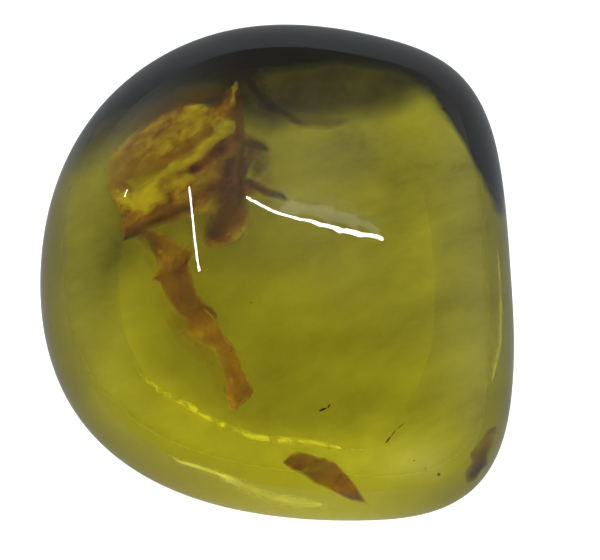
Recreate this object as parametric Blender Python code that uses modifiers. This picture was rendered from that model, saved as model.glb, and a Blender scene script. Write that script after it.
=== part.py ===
"""An amber cabochon with plant debris sealed in it, at rest on the flat spot of its underside.

The amber grew as one piece. It is parted here across its widest level, because the debris
lies in pockets that have to open somewhere, and each pocket is shared by the two halves.
+Z is up, +Y runs along the stone, and the origin is under the middle of its outline.
"""

import math

import bmesh
import bpy
import numpy as np

MM = 0.001

# The stone's levels: the flat spot is at zero, and the outline is widest at the girdle.
HEIGHT = 13.5 * MM
GIRDLE_LEVEL = 5.0 * MM
# Depth below the girdle that the rounded underside would reach if no flat spot were ground.
UNDER_DEPTH = 6.0 * MM
# Powers of the rounded section: 2 is an ellipse, and more has fuller shoulders.
CROWN_POWER = 2.1
UNDER_POWER = 2.0

# The outline seen from above, as angle from +X in degrees and radius in millimetres.
OUTLINE_STATIONS = [
    (0, 15.8),
    (26, 16.9),
    (48, 18.6),
    (66, 17.9),
    (100, 17.2),
    (140, 16.5),
    (180, 15.9),
    (220, 16.7),
    (262, 16.7),
    (290, 18.3),
    (311, 20.0),
    (331, 18.0),
]

# Fineness of the faceted stone.
SEGMENTS = 72
RINGS = 40

# Gap between the two halves, and the room around each fragment in its pocket.
PARTING_GAP = 0.3 * MM
POCKET_ROOM = 0.45 * MM

# A fragment is a thin sheet. Its outline is in millimetres from the stone's middle, and it
# is cut into cells this wide so that it can follow its folds. A cut passes through any
# point that is this near it, which leaves no slivers.
CELL = 1.0 * MM
CUT_SNAP = 0.22 * MM
OUTLINE_STEPS = 2

# Each fold is a wave: half its height and its length in millimetres, and the way it runs
# in degrees from +X. The folds stay so low that no amber is left loose under an arch.
FRAGMENTS = {
    "plant_veil": {
        "outline": [
            (-7.3, 10.5),
            (-5.6, 10.6),
            (-4.0, 10.2),
            (-3.0, 11.4),
            (-2.0, 11.6),
            (-1.7, 9.8),
            (-0.8, 7.8),
            (-1.0, 6.0),
            (0.5, 4.4),
            (-0.2, 3.5),
            (-2.2, 2.8),
            (-4.1, 2.9),
            (-5.8, 3.5),
            (-7.2, 2.4),
            (-8.7, 1.7),
            (-9.3, 2.7),
            (-10.3, 4.2),
            (-10.4, 5.8),
            (-9.6, 7.5),
            (-8.6, 9.2),
        ],
        "thickness": 0.45,
        "folds": [(0.45, 6.4, 125), (0.25, 4.1, 40)],
        "colour": (0.42, 0.22, 0.04),
    },
    "bark_strip": {
        "outline": [
            (-7.4, 0.6),
            (-6.2, 0.7),
            (-5.1, -0.2),
            (-5.0, -1.7),
            (-3.7, -3.2),
            (-2.8, -5.2),
            (-1.4, -8.0),
            (-2.1, -9.2),
            (-3.1, -8.7),
            (-3.5, -6.0),
            (-4.8, -4.0),
            (-6.0, -3.3),
            (-7.0, -1.6),
        ],
        "thickness": 0.5,
        "folds": [(0.35, 8.2, 110), (0.15, 3.6, 30)],
        "colour": (0.26, 0.11, 0.03),
    },
    "leaf_flake": {
        "outline": [
            (0.7, -12.3),
            (1.6, -11.9),
            (3.8, -12.7),
            (5.4, -14.6),
            (4.0, -14.2),
            (2.3, -13.3),
        ],
        "thickness": 0.4,
        "folds": [(0.2, 5.0, 20)],
        "colour": (0.22, 0.10, 0.02),
    },
    "edge_flake": {
        "outline": [
            (13.4, -10.7),
            (12.5, -11.3),
            (11.8, -12.6),
            (12.0, -13.6),
            (12.8, -12.9),
            (13.5, -11.7),
        ],
        "thickness": 0.4,
        "folds": [(0.15, 4.0, 80)],
        "colour": (0.20, 0.13, 0.04),
    },
}

AMBER_COLOUR = (0.55, 0.45, 0.02)
AMBER_IOR = 1.54
AMBER_ROUGHNESS = 0.03
DEBRIS_ROUGHNESS = 0.7


def clear_scene():
    for obj in list(bpy.data.objects):
        bpy.data.objects.remove(obj)


def add_collection(name, hidden):
    collection = bpy.data.collections.new(name)
    collection.hide_render = hidden
    bpy.context.scene.collection.children.link(collection)
    return collection


def add_object(name, mesh, collection):
    obj = bpy.data.objects.new(name, mesh)
    collection.objects.link(obj)
    return obj


def add_material(name, colour, roughness, transmission):
    material = bpy.data.materials.new(name)
    material.use_nodes = True
    shader = material.node_tree.nodes["Principled BSDF"]
    shader.inputs["Base Color"].default_value = (*colour, 1)
    shader.inputs["Roughness"].default_value = roughness
    shader.inputs["Metallic"].default_value = 0
    shader.inputs["Transmission Weight"].default_value = transmission
    shader.inputs["IOR"].default_value = AMBER_IOR
    return material


def closed_spline(stations):
    """Returns radius(angle) in metres, smooth in curvature too, through all the stations."""
    angles = np.radians([degrees for degrees, _ in stations])
    radii = np.array([radius for _, radius in stations]) * MM
    spans = np.diff(angles, append=angles[0] + math.tau)
    slopes = np.diff(radii, append=radii[0]) / spans
    count = len(stations)
    system = np.zeros((count, count))
    for i in range(count):
        system[i, i - 1] = spans[i - 1]
        system[i, i] = 2 * (spans[i - 1] + spans[i])
        system[i, (i + 1) % count] = spans[i]
    bends = np.linalg.solve(system, 6 * (slopes - np.roll(slopes, 1)))

    def radius(angle):
        angle = angle % math.tau
        i = int(np.searchsorted(angles, angle, side="right")) - 1
        j = (i + 1) % count
        span = spans[i]
        after = angle - angles[i]
        before = span - after
        bow = (bends[i] * before**3 + bends[j] * after**3) / (6 * span)
        start = (radii[i] / span - bends[i] * span / 6) * before
        end = (radii[j] / span - bends[j] * span / 6) * after
        return bow + start + end

    return radius


OUTLINE_RADIUS = closed_spline(OUTLINE_STATIONS)


def outline_middle():
    """The middle of the outline's box, which goes over the origin."""
    turns = [math.tau * i / SEGMENTS for i in range(SEGMENTS)]
    xs = [OUTLINE_RADIUS(turn) * math.cos(turn) for turn in turns]
    ys = [OUTLINE_RADIUS(turn) * math.sin(turn) for turn in turns]
    return (min(xs) + max(xs)) / 2, (min(ys) + max(ys)) / 2


MIDDLE_X, MIDDLE_Y = outline_middle()


def shape_stone(bm):
    """Turns a unit sphere into the stone, before its flat spot is ground."""
    for vert in bm.verts:
        angle = math.atan2(vert.co.y, vert.co.x)
        reach = math.hypot(vert.co.x, vert.co.y)
        above = vert.co.z > 0
        power = CROWN_POWER if above else UNDER_POWER
        rise = HEIGHT - GIRDLE_LEVEL if above else UNDER_DEPTH
        radius = OUTLINE_RADIUS(angle) * reach ** (2 / power)
        vert.co.x = radius * math.cos(angle) - MIDDLE_X
        vert.co.y = radius * math.sin(angle) - MIDDLE_Y
        vert.co.z = GIRDLE_LEVEL + rise * vert.co.z


def cut_level(bm, level, side):
    """Cuts away what lies past a level, above it for side 1 and below it for side -1."""
    cut = bmesh.ops.bisect_plane(
        bm,
        geom=bm.verts[:] + bm.edges[:] + bm.faces[:],
        plane_co=(0, 0, level),
        plane_no=(0, 0, side),
        clear_outer=True,
    )
    rim = [item for item in cut["geom_cut"] if isinstance(item, bmesh.types.BMEdge)]
    bmesh.ops.edgenet_fill(bm, edges=rim)


def stone_half(name, cuts, collection):
    bm = bmesh.new()
    bmesh.ops.create_uvsphere(bm, u_segments=SEGMENTS, v_segments=RINGS, radius=1)
    shape_stone(bm)
    for level, side in cuts:
        cut_level(bm, level, side)
    bmesh.ops.recalc_face_normals(bm, faces=bm.faces)
    mesh = bpy.data.meshes.new(name)
    bm.to_mesh(mesh)
    bm.free()
    mesh.shade_smooth()
    mesh.set_sharp_from_angle(angle=math.radians(25))
    return add_object(name, mesh, collection)


def outline_mesh(name, points, collection):
    """A mesh of edges along a smooth closed curve through the points."""
    curve = bpy.data.curves.new(name + "_outline", "CURVE")
    curve.resolution_u = OUTLINE_STEPS
    spline = curve.splines.new("BEZIER")
    spline.use_cyclic_u = True
    spline.bezier_points.add(len(points) - 1)
    for knot, (x, y) in zip(spline.bezier_points, points):
        knot.co = (x * MM - MIDDLE_X, y * MM - MIDDLE_Y, 0)
        knot.handle_left_type = knot.handle_right_type = "AUTO"
    guide = add_object(name + "_outline", curve, collection)
    bpy.context.view_layer.update()
    graph = bpy.context.evaluated_depsgraph_get()
    mesh = bpy.data.meshes.new_from_object(guide.evaluated_get(graph))
    bpy.data.objects.remove(guide)
    return mesh


def fold_level(x, y, folds):
    """How high the folds lift a fragment over the parting plane at a place, in metres."""
    level = 0
    for half_height, length, degrees in folds:
        turn = math.radians(degrees)
        along = (x * math.cos(turn) + y * math.sin(turn)) / (length * MM)
        level += half_height * MM * math.sin(math.tau * along)
    return level


def fragment_sheet(name, fragment, collection):
    """The fragment as one folded sheet with no thickness yet."""
    mesh = outline_mesh(name, fragment["outline"], collection)
    bm = bmesh.new()
    bm.from_mesh(mesh)
    bmesh.ops.remove_doubles(bm, verts=bm.verts, dist=0.01 * MM)
    bmesh.ops.edgenet_fill(bm, edges=bm.edges)
    for axis in (0, 1):
        low = min(vert.co[axis] for vert in bm.verts)
        high = max(vert.co[axis] for vert in bm.verts)
        normal = [0, 0, 0]
        normal[axis] = 1
        place = [0, 0, 0]
        for step in range(1, math.ceil((high - low) / CELL)):
            place[axis] = low + step * CELL
            bmesh.ops.bisect_plane(
                bm,
                geom=bm.verts[:] + bm.edges[:] + bm.faces[:],
                dist=CUT_SNAP,
                plane_co=place,
                plane_no=normal,
            )
    bmesh.ops.triangulate(bm, faces=bm.faces)
    for vert in bm.verts:
        vert.co.z = GIRDLE_LEVEL + fold_level(vert.co.x, vert.co.y, fragment["folds"])
    bm.to_mesh(mesh)
    bm.free()
    return mesh


def thicken(obj, thickness):
    solidify = obj.modifiers.new("thickness", "SOLIDIFY")
    solidify.thickness = thickness
    solidify.offset = 0


def add_fragment(name, fragment, parts, cutters):
    """Makes a fragment and the cutter of its pocket, which is the same sheet grown all round."""
    mesh = fragment_sheet(name, fragment, parts)
    solid = add_object(name, mesh, parts)
    thicken(solid, fragment["thickness"] * MM)
    mesh.materials.append(add_material(name, fragment["colour"], DEBRIS_ROUGHNESS, 0))
    pocket = add_object(name + "_pocket", mesh, cutters)
    thicken(pocket, fragment["thickness"] * MM)
    grow = pocket.modifiers.new("room", "DISPLACE")
    grow.direction = "NORMAL"
    grow.mid_level = 0
    grow.strength = POCKET_ROOM
    pocket.display_type = "WIRE"
    pocket.hide_render = True
    return pocket


def open_pockets(half, pockets):
    for pocket in pockets:
        cut = half.modifiers.new(pocket.name, "BOOLEAN")
        cut.operation = "DIFFERENCE"
        cut.solver = "EXACT"
        cut.object = pocket


def build():
    clear_scene()
    parts = add_collection("amber_cabochon", hidden=False)
    cutters = add_collection("pocket_cutters", hidden=True)
    pockets = [add_fragment(name, item, parts, cutters) for name, item in FRAGMENTS.items()]
    amber = add_material("amber", AMBER_COLOUR, AMBER_ROUGHNESS, 1)
    parting_top = GIRDLE_LEVEL + PARTING_GAP / 2
    parting_foot = GIRDLE_LEVEL - PARTING_GAP / 2
    halves = {
        "amber_crown": [(parting_top, -1)],
        "amber_base": [(parting_foot, 1), (0, -1)],
    }
    for name, cuts in halves.items():
        half = stone_half(name, cuts, parts)
        half.data.materials.append(amber)
        open_pockets(half, pockets)


build()
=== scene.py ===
import math

import bmesh
import bpy
import numpy as np
from mathutils import Matrix, Vector, noise


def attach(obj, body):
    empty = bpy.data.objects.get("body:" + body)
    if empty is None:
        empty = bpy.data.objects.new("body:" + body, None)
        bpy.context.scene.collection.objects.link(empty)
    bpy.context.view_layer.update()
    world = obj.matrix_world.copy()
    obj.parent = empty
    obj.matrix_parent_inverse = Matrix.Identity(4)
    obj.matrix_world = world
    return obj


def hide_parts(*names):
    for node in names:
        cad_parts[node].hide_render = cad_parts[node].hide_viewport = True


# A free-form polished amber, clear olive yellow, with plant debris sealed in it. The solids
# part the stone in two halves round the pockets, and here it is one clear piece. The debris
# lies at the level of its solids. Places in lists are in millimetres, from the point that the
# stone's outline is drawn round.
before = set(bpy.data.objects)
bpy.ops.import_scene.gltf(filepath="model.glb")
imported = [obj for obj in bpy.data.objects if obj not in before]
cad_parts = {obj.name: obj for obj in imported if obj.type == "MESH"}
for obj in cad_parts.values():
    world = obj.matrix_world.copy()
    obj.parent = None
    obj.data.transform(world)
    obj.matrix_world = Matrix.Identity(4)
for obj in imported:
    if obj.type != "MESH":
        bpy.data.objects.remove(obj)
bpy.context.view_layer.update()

MM = 0.001

# The stone's form, from the same values as its solids.
HEIGHT = 13.5 * MM
GIRDLE_LEVEL = 5.0 * MM
UNDER_DEPTH = 6.0 * MM
CROWN_POWER = 2.1
UNDER_POWER = 2.0
OUTLINE_STATIONS = [
    (0, 15.8),
    (26, 16.9),
    (48, 18.6),
    (66, 17.9),
    (100, 17.2),
    (140, 16.5),
    (180, 15.9),
    (220, 16.7),
    (262, 16.7),
    (290, 18.3),
    (311, 20.0),
    (331, 18.0),
]
# Fineness of the solids' outline and of the smooth stone, and the angle in degrees past which
# an edge of the stone stays crisp: the flat spot's rim is the only one.
SOLID_SEGMENTS = 72
STONE_SEGMENTS = 288
STONE_RINGS = 160
CRISP_ANGLE = 8

# Amber's refractive index, and the colour and strength of what it lets through.
AMBER_IOR = 1.54
DEPTH_COLOUR = "efee27"
DEPTH_DENSITY = 420.0
# Depth and length of the polishing waves, and how matte the flat spot and the underside are.
WAVE_DEPTH = 0.001 * MM
WAVE_LENGTH = 3.5 * MM
GROUND_ROUGHNESS = 0.4
UNDER_ROUGHNESS = 0.5
# The stain and painted shade on the underside: the length over which the painted shade
# deepens towards the back right, the stain's patches, and its clouds, which are turned and
# drawn out.
SHADE_REACH = 16 * MM
STAIN_PATCH = 5.0 * MM
STAIN_CLOUD = 3.5 * MM
CLOUD_TURN = (0, 0, math.radians(25))
CLOUD_STRETCH = (1.8, 1, 1)

# Sealed matter meets amber, not air, so it has next to no gloss of its own.
SEALED_IOR = 1.05
# Blots of the debris run along its wrinkles. Their noise stays near its middle and is spread
# out, and a ridge is painted paler than a crease: painted highlight and painted shade.
WRINKLE_TURN = (0, 0, math.radians(38))
WRINKLE_STRETCH = (2.6, 1, 1)
BLOT_SPREAD = 1.6
BLOT_START = -0.32
RIDGE_PAINTED_LIGHT = 0.3

# A sheet's thickness, and how much of its relief comes from its folds and from fine crumples.
SHEET_THICKNESS = 0.06 * MM
FOLD_SHARE = 0.55
CRUMPLE_SHARE = 0.5
# Crumples to a millimetre, how they fade and shrink from size to size, and how many sizes.
CRUMPLES_PER_MM = 0.9
CRUMPLE_FADE = 0.9
CRUMPLE_SHRINK = 2.0
CRUMPLE_SIZES = 4
# A cut across a sheet passes through any point that is this near it, in millimetres.
CUT_SNAP = 0.01

# How far inside the underside the skin of painted shade lies, how far below the widest level
# it ends, its fineness and the size of its mottle.
SKIN_DEPTH = 0.12 * MM
SKIN_END = 0.3 * MM
SKIN_SEGMENTS = 192
SKIN_RINGS = 120
SKIN_MOTTLE = 2.4 * MM

# A seam's cells from point to point and across. Its width at its ends, as a share of the
# full one, how fast it widens from there, and how fast it fades in.
SEAM_CELLS = 6
SEAM_ROWS = 4
SEAM_END_WIDTH = 0.3
SEAM_WIDENING = 2
SEAM_FADE = 5
# How far under the dome the painted lamp reflections lie, and the highest level that each
# other kind reaches.
REFLECTION_DEPTH = 0.08 * MM
GLINT_LEVEL = 9 * MM
FIBRE_LEVEL = 6 * MM
DUST_LEVEL = 5.4 * MM
CHAR_LEVEL = 4.4 * MM

# The crumpled film: its torn outline, the ridges it stands up along, with a painted highlight,
# and the creases it dips into, with painted shade, each with its strength and half width.
VEIL_OUTLINE = [
    (-10.4, 5.9),
    (-9.9, 7.0),
    (-9.3, 7.7),
    (-8.8, 8.2),
    (-8.1, 8.8),
    (-7.4, 9.3),
    (-6.6, 9.9),
    (-5.8, 10.4),
    (-4.7, 10.1),
    (-4.0, 10.0),
    (-3.4, 10.7),
    (-2.7, 11.2),
    (-2.4, 11.6),
    (-2.2, 10.9),
    (-2.2, 10.0),
    (-2.0, 9.2),
    (-1.9, 8.2),
    (-1.3, 7.7),
    (-0.7, 7.5),
    (-0.6, 7.0),
    (-1.2, 6.6),
    (-1.6, 6.0),
    (-1.8, 5.3),
    (-1.1, 5.0),
    (-0.4, 4.6),
    (0.7, 3.8),
    (-0.2, 4.0),
    (-1.1, 4.2),
    (-1.6, 3.9),
    (-1.6, 3.0),
    (-1.7, 2.1),
    (-2.2, 1.2),
    (-3.1, 0.8),
    (-4.1, 0.6),
    (-4.6, 1.2),
    (-4.4, 1.9),
    (-3.9, 2.5),
    (-4.0, 3.0),
    (-4.6, 3.0),
    (-5.3, 2.8),
    (-5.9, 2.6),
    (-6.4, 2.4),
    (-7.0, 2.2),
    (-7.6, 2.0),
    (-8.1, 1.7),
    (-8.6, 1.6),
    (-9.1, 1.4),
    (-9.4, 2.0),
    (-9.3, 2.8),
    (-9.5, 3.5),
    (-9.9, 4.0),
    (-10.4, 4.8),
]
VEIL_RIDGES = [
    (1.0, 0.45, [(-3.0, 8.3), (-3.7, 7.7), (-4.4, 7.3), (-4.9, 6.5), (-6.0, 6.1), (-7.5, 4.8), (-7.8, 4.3)]),
    (0.3, 0.4, [(-9.0, 7.9), (-8.2, 8.4), (-7.3, 8.8), (-6.4, 9.4), (-5.7, 9.8), (-4.2, 9.9)]),
    (0.5, 0.4, [(-5.4, 9.7), (-4.2, 9.7)]),
    (0.35, 0.5, [(-10.1, 5.4), (-8.3, 6.2), (-7.5, 6.6), (-6.6, 7.2), (-5.8, 7.9), (-4.0, 9.2)]),
    (0.6, 0.45, [(-9.9, 4.5), (-9.2, 4.2), (-8.5, 3.5), (-7.8, 3.1)]),
    (0.8, 0.5, [(-3.4, 8.8), (-3.0, 8.6)]),
    (0.9, 0.6, [(-7.9, 4.0), (-7.3, 4.3)]),
    (0.5, 0.7, [(-9.8, 5.4), (-9.1, 6.6), (-8.2, 7.6)]),
    (0.7, 0.15, [(-2.4, 11.5), (-2.6, 10.8), (-2.6, 10.1)]),
]
VEIL_CREASES = [
    (0.9, 0.35, [(-2.8, 8.0), (-3.3, 7.5), (-3.8, 6.9), (-4.3, 6.3), (-4.9, 5.9)]),
    (0.4, 0.3, [(-4.9, 5.9), (-5.8, 5.6), (-6.6, 5.0)]),
    (1.0, 0.4, [(-9.1, 1.5), (-8.6, 1.8), (-7.9, 2.2), (-7.2, 2.7), (-6.4, 3.1), (-5.3, 3.5)]),
    (0.8, 0.6, [(-3.1, 7.2), (-2.9, 5.6), (-3.0, 4.3)]),
    (0.8, 0.3, [(-1.8, 7.2), (-1.3, 7.4), (-0.8, 7.3)]),
    (0.8, 0.2, [(-2.2, 10.4), (-2.3, 8.6), (-2.2, 7.0), (-2.1, 5.4), (-2.2, 3.9)]),
    (0.9, 0.2, [(-1.9, 5.1), (-1.4, 4.9), (-0.7, 4.4), (0.3, 4.1)]),
]

# The folded strip below it.
STRIP_OUTLINE = [
    (-8.1, 2.0),
    (-7.7, 0.9),
    (-7.3, 0.2),
    (-7.1, -0.4),
    (-7.4, -1.1),
    (-7.0, -1.3),
    (-6.8, -1.9),
    (-6.6, -2.4),
    (-6.3, -2.8),
    (-6.0, -3.2),
    (-5.5, -3.7),
    (-5.5, -4.3),
    (-5.2, -4.8),
    (-4.3, -5.3),
    (-3.7, -5.6),
    (-3.5, -6.1),
    (-3.2, -6.7),
    (-3.1, -7.4),
    (-3.1, -8.2),
    (-2.9, -8.8),
    (-2.7, -9.4),
    (-2.3, -9.3),
    (-2.0, -8.9),
    (-1.5, -8.5),
    (-1.3, -8.1),
    (-1.6, -7.4),
    (-2.0, -6.8),
    (-2.2, -6.2),
    (-2.4, -5.6),
    (-2.8, -5.1),
    (-3.3, -4.4),
    (-3.6, -3.9),
    (-3.6, -3.3),
    (-3.8, -2.9),
    (-4.3, -2.6),
    (-4.7, -2.1),
    (-5.0, -1.4),
    (-5.1, -0.8),
    (-5.2, -0.2),
    (-5.0, 0.5),
    (-5.2, 0.9),
    (-5.6, 0.9),
    (-6.1, 1.2),
    (-6.7, 1.7),
]
STRIP_RIDGES = [
    (0.8, 0.4, [(-7.4, 0.7), (-6.6, 0.1), (-6.0, 0.1)]),
    (0.6, 0.3, [(-6.9, -2.0), (-6.2, -3.2)]),
    (0.6, 0.4, [(-5.2, -4.3), (-4.5, -4.7)]),
    (0.9, 0.7, [(-3.4, -5.6), (-2.7, -7.4), (-2.4, -8.6)]),
]
STRIP_CREASES = [
    (0.7, 0.8, [(-6.4, -1.5), (-5.6, -2.6)]),
    (1.0, 0.15, [(-7.4, -1.1), (-6.7, -0.9), (-6.0, -0.6), (-5.6, -0.3), (-5.1, 0.4)]),
    (1.0, 0.5, [(-5.8, -0.8), (-5.4, -1.3), (-5.3, -1.9), (-5.0, -2.5), (-4.5, -2.9), (-4.0, -3.0)]),
    (0.7, 0.35, [(-3.1, -5.4), (-2.7, -6.5), (-2.1, -7.5), (-1.8, -8.1), (-2.1, -8.7)]),
]

# The leaf flake near the front rim, and the fuzzy flake near the right edge.
LEAF_OUTLINE = [
    (0.5, -12.4),
    (1.0, -12.0),
    (1.5, -11.8),
    (2.1, -11.9),
    (2.7, -12.1),
    (3.3, -12.2),
    (3.9, -12.5),
    (4.6, -13.2),
    (5.2, -13.9),
    (5.7, -14.6),
    (6.2, -15.4),
    (4.9, -14.9),
    (4.0, -14.4),
    (3.1, -14.0),
    (2.4, -13.7),
    (1.7, -13.2),
    (1.1, -12.9),
]
LEAF_RIDGES = [
    (0.3, 0.25, [(2.4, -12.9), (3.6, -13.6)]),
]
LEAF_CREASES = [
    (0.4, 0.3, [(1.0, -12.3), (1.8, -12.5), (2.6, -12.8), (3.4, -13.2), (4.2, -13.9)]),
]
EDGE_OUTLINE = [
    (13.6, -10.6),
    (13.1, -10.8),
    (12.8, -11.2),
    (12.4, -11.8),
    (12.0, -12.3),
    (12.2, -12.7),
    (11.8, -13.5),
    (12.1, -14.1),
    (12.7, -14.0),
    (12.9, -13.5),
    (13.3, -13.0),
    (13.3, -12.2),
    (13.5, -11.5),
]
EDGE_RIDGES = [
    (0.5, 0.25, [(12.6, -12.0), (13.2, -11.2)]),
]
EDGE_CREASES = [
    (0.9, 0.25, [(12.8, -12.9), (12.4, -13.6)]),
]

# The skin of painted shade on the underside, from the right end round the back, and its core,
# where the shade is darkest and most opaque. The softness of its edge, in millimetres, follows x.
SKIN_OUTLINE = [
    (18.0, 2.0),
    (12.6, 3.2),
    (11.8, 4.2),
    (11.5, 5.5),
    (11.2, 6.5),
    (10.8, 7.5),
    (10.4, 8.6),
    (9.8, 9.8),
    (9.4, 10.5),
    (9.0, 11.1),
    (8.2, 11.2),
    (7.3, 10.4),
    (5.9, 9.9),
    (4.5, 9.8),
    (3.3, 9.6),
    (0.9, 9.4),
    (-0.3, 9.1),
    (-1.8, 9.4),
    (-4.0, 9.4),
    (-6.0, 9.1),
    (-7.6, 8.9),
    (-9.0, 8.1),
    (-10.4, 7.2),
    (-12.2, 5.8),
    (-19.0, 4.0),
    (-19.0, 20.0),
    (19.0, 20.0),
]
SKIN_CORE = [
    (18.0, 2.0),
    (12.6, 3.2),
    (11.8, 4.2),
    (11.2, 6.5),
    (10.4, 8.6),
    (9.8, 9.7),
    (9.3, 10.7),
    (8.9, 11.6),
    (7.5, 12.3),
    (5.7, 12.6),
    (3.6, 12.8),
    (1.5, 12.6),
    (-2.1, 12.2),
    (-3.5, 11.9),
    (-5.5, 11.3),
    (-7.1, 10.4),
    (-8.9, 9.8),
    (-10.8, 8.8),
    (-13.0, 7.7),
    (-19.0, 6.5),
    (-19.0, 20.0),
    (19.0, 20.0),
]
SKIN_SOFTNESS_X = [-12.0, -6.0, 0.0, 7.0, 9.2, 9.8]
SKIN_SOFTNESS = [1.8, 1.8, 1.5, 1.3, 0.8, 0.3]

# The painted glint, a line of bright dashes that runs along the front high in the stone, and the
# painted reflections of the lamps close under the dome, near the front rim and along the right side.
GLINT_LINE = [
    (-9.4, -7.4),
    (-8.8, -8.1),
    (-8.2, -8.6),
    (-7.6, -9.1),
    (-6.8, -9.6),
    (-5.9, -10.1),
    (-5.0, -10.6),
    (-4.1, -11.2),
    (-2.9, -11.8),
    (-1.6, -12.3),
    (-0.2, -12.5),
    (1.1, -12.6),
    (2.4, -12.7),
    (3.7, -13.0),
    (4.9, -13.2),
    (6.2, -13.3),
    (7.6, -13.2),
]
FRONT_REFLECTION = [
    (-7.2, -13.4),
    (-6.3, -14.0),
    (-5.0, -14.4),
    (-3.6, -14.9),
    (-2.0, -15.6),
    (-0.4, -16.2),
    (1.3, -16.5),
    (2.9, -16.6),
    (4.2, -16.7),
]
SIDE_REFLECTION = [
    (14.6, 1.1),
    (14.8, 0.0),
    (14.9, -2.1),
    (14.9, -4.2),
    (14.8, -6.0),
    (14.5, -7.4),
    (14.2, -8.7),
    (13.7, -9.8),
]
# A short pale fibre over the strip.
PALE_FIBRE = [
    (-4.6, -3.1),
    (-4.0, -3.7),
    (-3.4, -4.4),
]

# Bands of brown plant dust round the film and behind it: name, width and course.
DUST_SEAMS = [
    ("dust_below_film", 2.8, [(-2.6, 5.6), (-2.9, 4.2), (-3.2, 2.8), (-3.9, 1.6), (-4.6, 1.2)]),
    ("dust_to_strip", 1.3, [(-9.3, 1.5), (-8.5, 1.8), (-7.7, 1.5), (-7.2, 0.5), (-6.8, -0.5)]),
    ("dust_right_of_film", 1.8, [(-2.0, 8.2), (-1.2, 7.2), (-1.0, 6.0), (-1.5, 4.9)]),
    ("dust_above_film", 2.0, [(-9.4, 8.0), (-7.8, 9.4), (-6.0, 10.4), (-4.2, 10.8), (-2.8, 11.4)]),
    ("film_edge", 0.5, [(-2.3, 11.6), (-2.2, 9.4), (-2.0, 7.6), (-2.1, 5.6), (-2.3, 3.6)]),
    ("dust_behind", 0.9, [(0.0, 9.4), (1.6, 8.8), (3.4, 8.7), (5.0, 8.9)]),
]
# Orange dust beside the film, on the strip and beside it, and round the leaf flake.
BARK_SEAMS = [
    ("dust_beside_film", 2.0, [(-2.0, 7.2), (-1.2, 6.2), (-0.8, 5.0), (-0.2, 4.4)]),
    ("dust_under_film", 1.8, [(-8.6, 2.4), (-7.6, 1.6), (-6.8, 0.9), (-6.2, 0.0)]),
    ("dust_on_strip", 3.2, [(-7.0, 0.4), (-6.2, -1.3), (-5.4, -2.9), (-4.6, -4.3), (-3.4, -5.6)]),
    ("dust_at_strip_end", 2.6, [(-3.8, -5.0), (-3.1, -6.4), (-2.6, -8.0), (-2.3, -9.6)]),
    ("dust_beside_strip", 2.0, [(-6.6, -3.0), (-5.6, -4.4), (-4.4, -5.6), (-3.6, -7.0)]),
    ("dust_round_leaf", 2.2, [(0.2, -12.0), (1.6, -12.4), (3.0, -13.0), (4.4, -14.0), (5.8, -15.2)]),
]
# Charred threads at the film's edges, and a smudge behind it.
CHAR_SEAMS = [
    ("thread_1", 1.0, [(-1.7, 12.0), (-1.3, 11.0), (-0.6, 10.1), (0.4, 9.2)]),
    ("thread_2", 0.5, [(-0.6, 10.4), (0.2, 9.7), (1.2, 9.0), (2.2, 8.6)]),
    ("thread_3", 0.9, [(-2.1, 5.4), (-1.3, 4.9), (-0.6, 4.4), (0.3, 4.2), (1.0, 3.7)]),
    ("thread_4", 1.0, [(-2.2, 7.5), (-1.4, 7.5), (-0.9, 7.3), (-0.2, 7.0)]),
    ("thread_5", 0.8, [(-1.4, 7.4), (-1.6, 6.6), (-1.9, 5.9), (-2.0, 5.2)]),
    ("thread_6", 0.7, [(-9.4, 1.3), (-8.6, 1.8), (-7.9, 2.1), (-7.3, 2.6)]),
    ("thread_7", 1.0, [(-2.4, 6.9), (-2.9, 6.0), (-3.1, 5.0)]),
    ("smudge_above_film", 2.4, [(-5.2, 12.2), (-3.6, 12.2), (-2.0, 12.0), (-0.4, 11.6)]),
]

# Grains and scratches in the stone: place, length, width in millimetres and turn in degrees.
GRIT = [
    (3.1, -9.3, 0.55, 0.12, 20),
    (3.5, -9.1, 0.3, 0.1, 60),
    (7.2, -11.2, 0.5, 0.1, 50),
    (7.5, -10.8, 0.5, 0.06, 60),
    (7.9, -10.4, 0.5, 0.05, 40),
    (10.3, -13.4, 0.2, 0.16, 0),
    (8.8, -12.5, 0.14, 0.06, 40),
    (9.5, -13.0, 0.16, 0.06, 50),
    (-1.5, -2.7, 0.1, 0.08, 0),
    (-6.6, 2.6, 0.12, 0.1, 0),
]
# The angle in degrees past which a grain's edge stays crisp, and the size of its speckle.
GRIT_CRISP_ANGLE = 25
GRIT_SPECKLE = 0.15 * MM

# Patches of room light: azimuth, elevation, sharpness and strength. The gloss sees its own
# dimmer set, over an even grey.
ROOM_LOBES = [
    (180, 12, 10, 24.5),
    (0, 12, 10, 12.0),
    (0, 90, 10, 6.0),
]
GLOSS_GREY = 0.18
GLOSS_LOBES = [
    (322, 8, 20, 0.6),
    (14, 57, 14, 0.6),
    (57, 5, 6, 0.3),
    (90, 12, 6, 0.45),
    (270, 10, 6, 0.3),
    (150, 22, 20, 0.7),
]

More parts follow.
